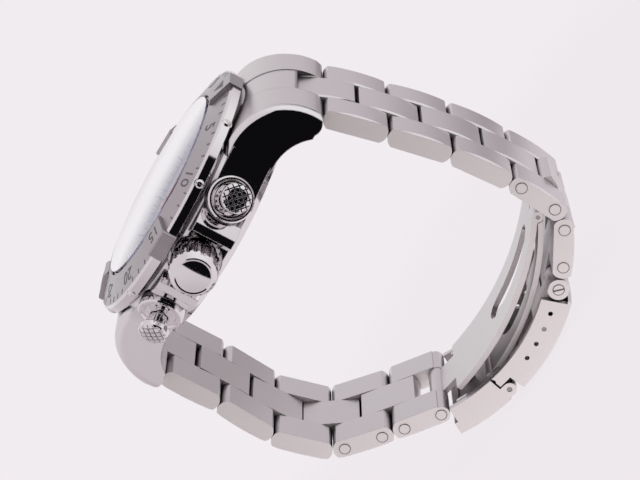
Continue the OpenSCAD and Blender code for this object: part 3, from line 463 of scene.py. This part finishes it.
def lacquer(name, colour, roughness, flake_mm, coat=0.0):
    """A painted or plated skin with a fine even tooth, and a clear coat where it has one."""
    material, tree = new_material(name)
    place = add(tree, "ShaderNodeTexCoord").outputs["Object"]
    tooth = add(tree, "ShaderNodeTexNoise", {"Vector": place, "Scale": 1 / (flake_mm * MM),
                                             "Detail": 2.0})
    tone = add(tree, "ShaderNodeMixRGB", {0: tooth.outputs["Fac"],
                                          1: rgba([c * 0.93 for c in colour]), 2: rgba(colour)})
    bump = add(tree, "ShaderNodeBump", {"Height": tooth.outputs["Fac"], "Strength": 0.12,
                                        "Distance": flake_mm * MM * 0.1})
    skin = add(tree, "ShaderNodeBsdfPrincipled", {
        "Base Color": tone.outputs[0], "Roughness": roughness, "Normal": bump.outputs[0],
        "Coat Weight": coat, "Coat Roughness": 0.04})
    add(tree, "ShaderNodeOutputMaterial", {"Surface": skin.outputs[0]})
    return material


def nylon_gasket(s):
    # Moulded nylon ring: milky and dull
    return lacquer("Nylon, moulded gasket", s.nylon, 0.5, 0.3)


def silvered_dial(s):
    # Brass disc, silvered and matt lacquered: a frosted pale face
    return lacquer("Brass, silvered dial", s.dial, 0.42, 0.08, coat=0.3)


def flange_enamel(s):
    # Stamped brass ring, enamelled: an even, slightly glossy white
    return lacquer("Brass, enamelled flange", s.enamel, 0.35, 0.12, coat=0.2)


def black_lacquer(s):
    # Brass hands, dipped in dark lacquer: nearly black with a clear gloss
    return lacquer("Brass, dark lacquered hands", s.dark, 0.3, 0.06, coat=0.5)


def red_lacquer(s):
    # Brass hand, sprayed with red lacquer: a deep red line with a clear gloss
    return lacquer("Brass, red lacquered hand", s.red, 0.3, 0.06, coat=0.5)


def movement_spacer(s):
    # Moulded acetal ring: pale grey and waxy
    return lacquer("Acetal, moulded spacer", s.acetal, 0.55, 0.4)


def printing_ink(s):
    # Pad printed ink: thin dark marks without gloss
    return lacquer("Ink, pad printed", s.ink, 0.6, 0.05)


def flange_ink(s):
    # Pad printed lilac ink: faint cool marks on white
    return lacquer("Ink, lilac pad print", s.scale_ink, 0.6, 0.05)


def luminous_paint(s):
    # Luminous paint, filled in by hand: chalky and a little green
    return lacquer("Luminous paint, filled", s.glow, 0.7, 0.1)


def etched_steel(s):
    # Steel left rough at the foot of a cut number: dull dark grey. The same dark grey is laid round the pin heads
    # as painted shade in their grooves
    material, tree = new_material("Stainless steel, cut and etched, and painted groove shade")
    skin = satin_shader(tree, s.etch, s.grain, s.edge * 0.3, roughness=0.5)
    add(tree, "ShaderNodeOutputMaterial", {"Surface": skin})
    return material


SLOT_MATERIALS = {
    "brushed_case": case_steel, "polished_steel": polished_steel,
    "brushed_link": brushed_link_steel, "hidden_steel": turned_steel, "sapphire": sapphire_glass,
    "gasket": nylon_gasket, "dial_lacquer": silvered_dial, "flange_lacquer": flange_enamel,
    "hand_lacquer": black_lacquer, "red_lacquer": red_lacquer, "movement_brass": gilt_brass,
    "spacer": movement_spacer,
}
NODE_MATERIALS = {"bezel": bezel_steel, "rider_tabs": rider_steel, "crown": crown_steel}
MADE = {}


def material_for(build):
    """Builds a material once and shares it afterwards."""
    if build not in MADE:
        MADE[build] = build(bpy.context.scene.watch_finish)
    return MADE[build]


class WATCH_OT_finishes(bpy.types.Operator):
    """Give every part of the watch its own finish"""
    bl_idname = "watch.finishes"
    bl_label = "Finish the parts"

    def execute(self, context):
        for part in frame["record"]["subparts"]:
            name = part["node"]
            build = NODE_MATERIALS.get(name, SLOT_MATERIALS[part["material_slot"]])
            mesh = NODES[name].data
            mesh.materials.clear()
            mesh.materials.append(material_for(build))
        return {"FINISHED"}


# Shapes, as a list of points and a list of faces

def digits(text, size):
    """A number in Blender's own font as a solid of unit thickness, centred on its own plane."""
    curve = bpy.data.curves.new("digits", "FONT")
    curve.body = text
    curve.size = size
    curve.resolution_u = 3
    curve.extrude = 0.5
    holder = bpy.data.objects.new("digits", curve)
    mesh = holder.to_mesh()
    points = [v.co.copy() for v in mesh.vertices]
    faces = [list(p.vertices) for p in mesh.polygons]
    bpy.data.objects.remove(holder)
    bpy.data.curves.remove(curve)
    low = [min(p[i] for p in points) for i in (0, 1)]
    high = [max(p[i] for p in points) for i in (0, 1)]
    middle = Vector(((low[0] + high[0]) / 2, (low[1] + high[1]) / 2, -0.5))
    return [p - middle for p in points], faces


def plate(outline):
    """A flat outline as a solid of unit thickness."""
    count = len(outline)
    points = [Vector((x, y, z)) for z in (0, 1) for x, y in outline]
    faces = [list(range(count - 1, -1, -1)), list(range(count, 2 * count))]
    faces += [[i, (i + 1) % count, count + (i + 1) % count, count + i] for i in range(count)]
    return points, faces


def bar(width, length, narrow=1.0):
    """A mark, centred across and standing on its foot, that may narrow toward its head."""
    w = width / 2
    return plate([(-w, 0), (w, 0), (w * narrow, length), (-w * narrow, length)])


def ring(inner, outer, steps=48):
    """A flat ring as a solid of unit thickness."""
    points, faces = [], []
    for i in range(steps):
        c, s = math.cos(2 * math.pi * i / steps), math.sin(2 * math.pi * i / steps)
        points += [Vector((r * c, r * s, z))
                   for r, z in ((inner, 0), (outer, 0), (outer, 1), (inner, 1))]
    for i in range(steps):
        a, b = 4 * i, 4 * ((i + 1) % steps)
        faces += [[a + k, a + (k + 1) % 4, b + (k + 1) % 4, b + k] for k in range(4)]
    return points, faces


def revolve(profile, steps=32):
    """A turned solid from [radius, height] points whose ends lie on the axis."""
    points = [Vector((0, 0, profile[0][1])), Vector((0, 0, profile[-1][1]))]
    faces = []
    rings = profile[1:-1]
    for r, z in rings:
        points += [Vector((r * math.cos(2 * math.pi * i / steps),
                           r * math.sin(2 * math.pi * i / steps), z)) for i in range(steps)]
    last = 2 + (len(rings) - 1) * steps
    for i in range(steps):
        j = (i + 1) % steps
        faces += [[0, 2 + j, 2 + i], [1, last + i, last + j]]
        for a in range(2, last, steps):
            faces.append([a + i, a + j, a + steps + j, a + steps + i])
    return points, faces


def half_dome(radius, gap, height, steps=14):
    """One half of a slotted screw head with a low dome."""
    start = math.asin(gap / radius)
    arc = [start + (math.pi - 2 * start) * i / steps for i in range(steps + 1)]
    rows = [(radius, -ROOT)] + [(radius * math.cos(math.radians(t)),
                                 height * math.sin(math.radians(t))) for t in DOME_RINGS]
    points = [Vector((r * math.cos(a), max(r * math.sin(a), gap), z)) for r, z in rows for a in arc]
    count, last = steps + 1, (len(rows) - 1) * (steps + 1)
    faces = [list(range(count - 1, -1, -1)), list(range(last, last + count))]
    for base in range(0, last, count):
        faces += [[base + i, base + (i + 1) % count, base + count + (i + 1) % count,
                   base + count + i] for i in range(count)]
    return points, faces


def turned(shape, angle):
    """A shape turned about its own Z."""
    turn = Matrix.Rotation(angle, 3, "Z")
    return [turn @ p for p in shape[0]], shape[1]


def join(shapes):
    """Many shapes as one."""
    points, faces = [], []
    for shape_points, shape_faces in shapes:
        base = len(points)
        points += shape_points
        faces += [[base + i for i in face] for face in shape_faces]
    return points, faces


def placed(shape, place):
    return [place(p) for p in shape[0]], shape[1]


def make_piece(name, body, shape, build, smooth=None):
    """Makes the object of a piece, gives it its material and lets it ride on its body."""
    mesh = bpy.data.meshes.new(name)
    mesh.from_pydata([tuple(p) for p in shape[0]], [], shape[1])
    mesh.validate()
    mesh.materials.append(material_for(build))
    if smooth is not None:
        mesh.shade_smooth()
        mesh.set_sharp_from_angle(angle=math.radians(smooth))
    piece = bpy.data.objects.new(name, mesh)
    bpy.context.scene.collection.objects.link(piece)
    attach(piece, body)


# Places on the watch

def surface(node):
    """The faces of a part, for finding where a mark lies on it."""
    mesh = NODES[node].data
    return BVHTree.FromPolygons([v.co for v in mesh.vertices], [p.vertices for p in mesh.polygons])


def clock(angle, radius):
    """A point at a dial angle in degrees from 12 o'clock, and the ways outwards and clockwise."""
    a = math.radians(angle)
    out = Vector((math.sin(a), math.cos(a), 0))
    return out * radius, out, Vector((math.cos(a), -math.sin(a), 0))


def laid(tree, middle, along, out, relief):
    """Lays a mark on whatever lies under it, seen from the dial side."""
    def place(p):
        flat = middle + along * p.x + out * p.y
        spot, normal, _, _ = tree.ray_cast(Vector((flat.x, flat.y, ABOVE)), -UP)
        return spot + normal * (relief * (2 * p.z - 1))
    return place


def on_top(tree, angle, radius, relief):
    """Lays a mark at a dial angle and radius, its head outwards."""
    middle, out, along = clock(angle, radius)
    return laid(tree, middle, along, out, relief)


def on_face(centre, normal, height):
    """Lays a shape on an upright flat face with a given outward direction."""
    side = UP.cross(normal).normalized()
    up = normal.cross(side)
    return lambda p: centre + side * p.x + up * p.y + normal * (p.z * height)


# Marks and small fittings

class WATCH_OT_bezel_scale(bpy.types.Operator):
    """Cut the minute scale into the bezel's slope"""
    bl_idname = "watch.bezel_scale"
    bl_label = "Bezel scale"

    def execute(self, context):
        s = context.scene.watch_scale
        tree = surface("bezel")
        shapes = [placed(digits(str(minute), s.number_size / CAP_HEIGHT),
                         on_top(tree, MINUTE * minute, s.number_radius, s.relief))
                  for minute in range(0, 60, 5) if minute % QUARTER]
        for minute in range(60):
            beside_rider = min(minute % QUARTER, QUARTER - minute % QUARTER) < 2
            if minute % 5 and not beside_rider:
                shapes.append(placed(bar(s.tick_width, s.tick_length, TICK_TAPER),
                                     on_top(tree, MINUTE * minute, s.tick_outer - s.tick_length,
                                            s.relief)))
        make_piece("bezel_scale", "bezel", join(shapes), etched_steel)
        return {"FINISHED"}


class WATCH_OT_rider_marks(bpy.types.Operator):
    """Cut the quarter marks into the bezel's riders"""
    bl_idname = "watch.rider_marks"
    bl_label = "Rider marks"

    def execute(self, context):
        s = context.scene.watch_scale
        tree = surface("rider_tabs")
        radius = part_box("rider_tabs")[1].y - s.rider_inset
        shapes = [placed(digits(str(minute), s.rider_number / CAP_HEIGHT),
                         on_top(tree, MINUTE * minute, radius, s.relief))
                  for minute in (15, 30, 45)]
        half, base, tip = s.arrow_width / 2, s.arrow_height * 0.45, -s.arrow_height * 0.55
        arrow = plate([(-half, base), (0, tip), (half, base)])
        shapes.append(placed(arrow, on_top(tree, 0, radius, s.relief)))
        make_piece("rider_marks", "bezel", join(shapes), etched_steel)
        return {"FINISHED"}


class WATCH_OT_bezel_screws(bpy.types.Operator):
    """Set the eight slotted screws into the bezel's flank"""
    bl_idname = "watch.bezel_screws"
    bl_label = "Bezel screws"

    def execute(self, context):
        s = context.scene.watch_scale
        r = s.screw_radius
        rim, lip = r * 1.1, s.screw_out * 0.2
        seat = revolve([(0, -ROOT), (rim, -ROOT), (rim, lip), (r, lip), (r, 0), (0, 0)])
        half = half_dome(r * 0.9, s.screw_slot / 2, s.screw_out)
        head = join([half, turned(half, math.pi)])
        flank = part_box("bezel")[1].x - s.screw_inset
        shapes = []
        for hour in range(12):
            if hour % 3:
                middle, out, _ = clock(HOUR * hour, flank)
                place = on_face(middle + UP * s.screw_height, out, 1.0)
                slot_turn = math.radians(SLOT_STEP * hour)
                shapes += [placed(seat, place), placed(turned(head, slot_turn), place)]
        make_piece("bezel_screws", "bezel", join(shapes), polished_steel,
                   smooth=35)
        return {"FINISHED"}


class WATCH_OT_dial_print(bpy.types.Operator):
    """Print the minute track and the counters on the dial"""
    bl_idname = "watch.dial_print"
    bl_label = "Dial print"

    def execute(self, context):
        s = context.scene.watch_scale
        tree = surface("dial")
        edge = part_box("dial")[1].x - s.track_margin
        shapes = []
        for step in range(60 * TRACK_PARTS):
            rank = 0 if step % (5 * TRACK_PARTS) == 0 else 1 if step % TRACK_PARTS == 0 else 2
            length, width = TRACK_MARKS[rank]
            shapes.append(placed(bar(width, length), on_top(tree, MINUTE * step / TRACK_PARTS,
                                                            edge - length, s.print_relief)))
        hub_radius = -JOINTS["small_seconds_turn"]["pos_m"][0]
        for angle, total, numbers in COUNTERS:
            hub = clock(angle, hub_radius)[0]
            for step in range(total):
                length, width = COUNTER_MARKS[0 if step % (total // LONG_MARKS) == 0 else 1]
                spot, out, along = clock(360 * step / total, s.counter_radius - length)
                shapes.append(placed(bar(width, length),
                                     laid(tree, hub + spot, along, out, s.print_relief)))
            for k, number in enumerate(numbers):
                spot = clock(360 * (k + 1) / len(numbers), s.counter_number_radius)[0]
                shapes.append(placed(digits(number, s.counter_number),
                                     laid(tree, hub + spot, EAST, NORTH, s.print_relief)))
        make_piece("dial_print", "case", join(shapes), printing_ink)
        return {"FINISHED"}


class WATCH_OT_flange_scale(bpy.types.Operator):
    """Print the seconds scale on the flange ring"""
    bl_idname = "watch.flange_scale"
    bl_label = "Flange scale"

    def execute(self, context):
        s = context.scene.watch_scale
        tree = surface("flange_ring")
        shapes = []
        for step in range(60):
            length, width = FLANGE_MARKS[0 if step % 5 == 0 else 1]
            shapes.append(placed(bar(width, length),
                                 on_top(tree, MINUTE * step, s.flange_radius, s.print_relief)))
        make_piece("flange_scale", "case", join(shapes), flange_ink)
        return {"FINISHED"}


class WATCH_OT_luminous_fill(bpy.types.Operator):
    """Fill the hands and the hour markers with luminous paint"""
    bl_idname = "watch.luminous_fill"
    bl_label = "Luminous fillings"

    def execute(self, context):
        s = context.scene.watch_scale
        for hand, (foot, length, width) in HAND_FILLS.items():
            shape = placed(bar(width, length, FILL_TAPER),
                           on_top(surface(hand), 0, foot, s.print_relief))
            make_piece(hand + "_fill", hand, shape, luminous_paint)
        tree = surface("hour_markers")
        shapes = [placed(bar(s.marker_width, s.marker_length),
                         on_top(tree, HOUR * hour, s.marker_radius, s.print_relief))
                  for hour in range(1, 12) if hour % 3]
        make_piece("marker_fill", "case", join(shapes), luminous_paint)
        return {"FINISHED"}


class WATCH_OT_date_print(bpy.types.Operator):
    """Print the numbers on the date disc"""
    bl_idname = "watch.date_print"
    bl_label = "Date numbers"

    def execute(self, context):
        s = context.scene.watch_scale
        tree = surface("date_disc")
        shapes = []
        for day in range(DAYS):
            middle, out, along = clock(FIRST_DAY + 360 * day / DAYS, s.date_radius)
            shapes.append(placed(digits(str(day + 1), s.date_number),
                                 laid(tree, middle, out, -along, s.print_relief)))
        make_piece("date_numbers", "date_disc", join(shapes), printing_ink)
        return {"FINISHED"}


class WATCH_OT_pin_rings(bpy.types.Operator):
    """Lay a thin dark ring of painted shade where the fine groove round each visible pin head lies"""
    bl_idname = "watch.pin_rings"
    bl_label = "Pin head grooves"

    def execute(self, context):
        s = context.scene.watch_scale
        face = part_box("upper_outer_4")[1].x - s.groove_height * 0.4
        groove_shade = ring(s.groove_inner, s.groove_outer)
        for body, pivots in PIN_HEADS.items():
            shapes = []
            for pivot in pivots:
                _, y, z = JOINTS[pivot]["pos_m"]
                for side in (-1, 1):
                    place = on_face(Vector((side * face, y, z)), side * EAST, s.groove_height)
                    shapes.append(placed(groove_shade, place))
            # These rings are painted shade: a dark sheet laid where the groove's shade falls
            make_piece(body + "_groove_shade", body, join(shapes), etched_steel)
        return {"FINISHED"}


# Stage

def floor_material(colour, radius):
    # Painted floor: pale, keeps the watch's shadow and fades into the backdrop
    material, tree = new_material("Floor, matt paint")
    place = add(tree, "ShaderNodeTexCoord").outputs["Object"]
    grain = add(tree, "ShaderNodeTexNoise", {"Vector": place, "Scale": 1 / (2.5 * MM)})
    tone = add(tree, "ShaderNodeMixRGB", {0: grain.outputs["Fac"],
                                          1: rgba([c * 0.99 for c in colour]), 2: rgba(colour)})
    paint = add(tree, "ShaderNodeBsdfDiffuse", {"Color": tone.outputs[0]})
    glow = add(tree, "ShaderNodeEmission", {"Color": tone.outputs[0], "Strength": 1.0})
    path = add(tree, "ShaderNodeLightPath")
    seen = add(tree, "ShaderNodeMath", {0: path.outputs["Is Camera Ray"],
                                        1: path.outputs["Is Glossy Ray"]}, operation="MAXIMUM")
    shown = add(tree, "ShaderNodeMath", {0: seen.outputs[0],
                                         1: path.outputs["Is Transmission Ray"]},
                operation="MAXIMUM")
    share = add(tree, "ShaderNodeMath", {0: shown.outputs[0], 1: 0.93}, operation="MULTIPLY")
    floor = add(tree, "ShaderNodeMixShader", {0: share.outputs[0], 1: paint.outputs[0],
                                              2: glow.outputs[0]})
    distance = add(tree, "ShaderNodeVectorMath", {0: place}, operation="LENGTH")
    fade = add(tree, "ShaderNodeMapRange", {"Value": distance.outputs["Value"],
                                            "From Min": radius * 0.45, "From Max": radius * 0.97},
               interpolation_type="SMOOTHSTEP")
    clear = add(tree, "ShaderNodeBsdfTransparent")
    skin = add(tree, "ShaderNodeMixShader", {0: fade.outputs[0], 1: floor.outputs[0],
                                             2: clear.outputs[0]})
    add(tree, "ShaderNodeOutputMaterial", {"Surface": skin.outputs[0]})
    return material


def light_tent(world, s):
    """A white tent with the dark opening that the watch is looked at through."""
    world.use_nodes = True
    tree = world.node_tree
    tree.nodes.clear()
    look = add(tree, "ShaderNodeTexCoord").outputs["Generated"]

    def patch(azimuth, elevation, half_width, half_height, inner, boxed=False):
        """A mask over a round or rectangular patch of the tent."""
        turn = Matrix.Rotation(-math.radians(azimuth), 3, "Z")
        tilt = Matrix.Rotation(math.radians(elevation), 3, "Y")
        local = add(tree, "ShaderNodeMapping", {"Vector": look,
                                                "Rotation": (tilt @ turn).to_euler()})
        part = add(tree, "ShaderNodeSeparateXYZ", {0: local.outputs[0]})
        across = add(tree, "ShaderNodeMath", {0: part.outputs[1], 1: part.outputs[0]},
                     operation="ARCTAN2")
        wide = add(tree, "ShaderNodeMath", {0: across.outputs[0], 1: math.radians(half_width)},
                   operation="DIVIDE")
        up = add(tree, "ShaderNodeMath", {0: part.outputs[2]}, operation="ARCSINE")
        high = add(tree, "ShaderNodeMath", {0: up.outputs[0], 1: math.radians(half_height)},
                   operation="DIVIDE")
        if boxed:
            reach = [add(tree, "ShaderNodeMath", {0: share.outputs[0]}, operation="ABSOLUTE")
                     for share in (wide, high)]
            size = add(tree, "ShaderNodeMath", {0: reach[0].outputs[0], 1: reach[1].outputs[0]},
                       operation="MAXIMUM").outputs[0]
        else:
            both = add(tree, "ShaderNodeCombineXYZ", {0: wide.outputs[0], 1: high.outputs[0]})
            size = add(tree, "ShaderNodeVectorMath", {0: both.outputs[0]},
                       operation="LENGTH").outputs["Value"]
        return add(tree, "ShaderNodeMapRange", {"Value": size, "From Min": inner, "From Max": 1.0,
                                                "To Min": 1.0, "To Max": 0.0},
                   interpolation_type="SMOOTHSTEP").outputs[0]

    lamps = add(tree, "ShaderNodeMath", {0: patch(*LAMP), 1: patch(*FAR_LAMP)},
                operation="MAXIMUM")
    tent = rgba(s.tent)
    for mask, colour in ((lamps.outputs[0], s.lamp), (patch(*SHADE), s.shade),
                         (patch(*FAR_SHADE), s.far_shade),
                         (patch(*OPENING, boxed=True), s.opening)):
        tent = add(tree, "ShaderNodeMixRGB", {0: mask, 1: tent, 2: rgba(colour)}).outputs[0]
    light = add(tree, "ShaderNodeBackground", {"Color": tent, "Strength": s.light})
    backdrop = add(tree, "ShaderNodeBackground", {"Color": rgba(s.backdrop), "Strength": 1.0})
    path = add(tree, "ShaderNodeLightPath")
    seen = add(tree, "ShaderNodeMixShader", {0: path.outputs["Is Camera Ray"], 1: light.outputs[0],
                                             2: backdrop.outputs[0]})
    add(tree, "ShaderNodeOutputWorld", {"Surface": seen.outputs[0]})


class WATCH_OT_stage(bpy.types.Operator):
    """Set up the floor, the light and the camera"""
    bl_idname = "watch.stage"
    bl_label = "Stage"

    def execute(self, context):
        scene = context.scene
        s = scene.watch_stage
        points, faces = revolve([(0, -s.floor_thickness), (s.floor_radius, -s.floor_thickness),
                                 (s.floor_radius, 0), (0, 0)], 96)
        mesh = bpy.data.meshes.new("floor")
        mesh.from_pydata([tuple(p) for p in points], [], faces)
        mesh.materials.append(floor_material(s.backdrop, s.floor_radius))
        ground = bpy.data.objects.new("floor", mesh)
        ground.location = (0, 0, cad_box[0][2] - s.floor_gap)
        scene.collection.objects.link(ground)
        scene.world = bpy.data.worlds.new("Light tent")
        light_tent(scene.world, s)
        lens = bpy.data.cameras.new("camera")
        lens.sensor_width = SENSOR
        lens.lens = s.focal_pixels * SENSOR / PHOTO_WIDTH
        lens.clip_start = 10 * MM
        camera = bpy.data.objects.new("camera", lens)
        level = math.cos(s.elevation)
        back = Vector((level * math.cos(s.azimuth), level * math.sin(s.azimuth),
                       math.sin(s.elevation)))
        side = UP.cross(back).normalized()
        rest = Matrix((side, back.cross(side), back)).transposed()
        camera.matrix_world = (Matrix.Translation(s.position) @ rest.to_4x4()
                               @ Matrix.Rotation(s.roll, 4, "Z"))
        scene.collection.objects.link(camera)
        scene.camera = camera
        scene.view_settings.view_transform = "Standard"
        return {"FINISHED"}


OPERATORS = (WATCH_OT_finishes, WATCH_OT_bezel_scale, WATCH_OT_rider_marks, WATCH_OT_bezel_screws,
             WATCH_OT_dial_print, WATCH_OT_flange_scale, WATCH_OT_luminous_fill,
             WATCH_OT_date_print, WATCH_OT_pin_rings, WATCH_OT_stage)


class WATCH_PT_panel(bpy.types.Panel):
    """Lists the steps that dress the watch"""
    bl_idname = "WATCH_PT_panel"
    bl_label = "Chronograph watch"
    bl_space_type = "VIEW_3D"
    bl_region_type = "UI"
    bl_category = "Watch"

    def draw(self, context):
        scene = context.scene
        for operator in OPERATORS:
            self.layout.operator(operator.bl_idname)
        for group in (scene.watch_finish, scene.watch_scale, scene.watch_stage):
            box = self.layout.box()
            for name in group.__annotations__:
                box.prop(group, name)


CLASSES = (FinishSettings, ScaleSettings, StageSettings, *OPERATORS, WATCH_PT_panel)


def register():
    for cls in CLASSES:
        bpy.utils.register_class(cls)
    bpy.types.Scene.watch_finish = PointerProperty(type=FinishSettings)
    bpy.types.Scene.watch_scale = PointerProperty(type=ScaleSettings)
    bpy.types.Scene.watch_stage = PointerProperty(type=StageSettings)


def unregister():
    del bpy.types.Scene.watch_stage
    del bpy.types.Scene.watch_scale
    del bpy.types.Scene.watch_finish
    for cls in reversed(CLASSES):
        bpy.utils.unregister_class(cls)


def main():
    register()
    for operator in OPERATORS:
        group, name = operator.bl_idname.split(".")
        getattr(getattr(bpy.ops, group), name)()


if __name__ == "__main__":
    main()
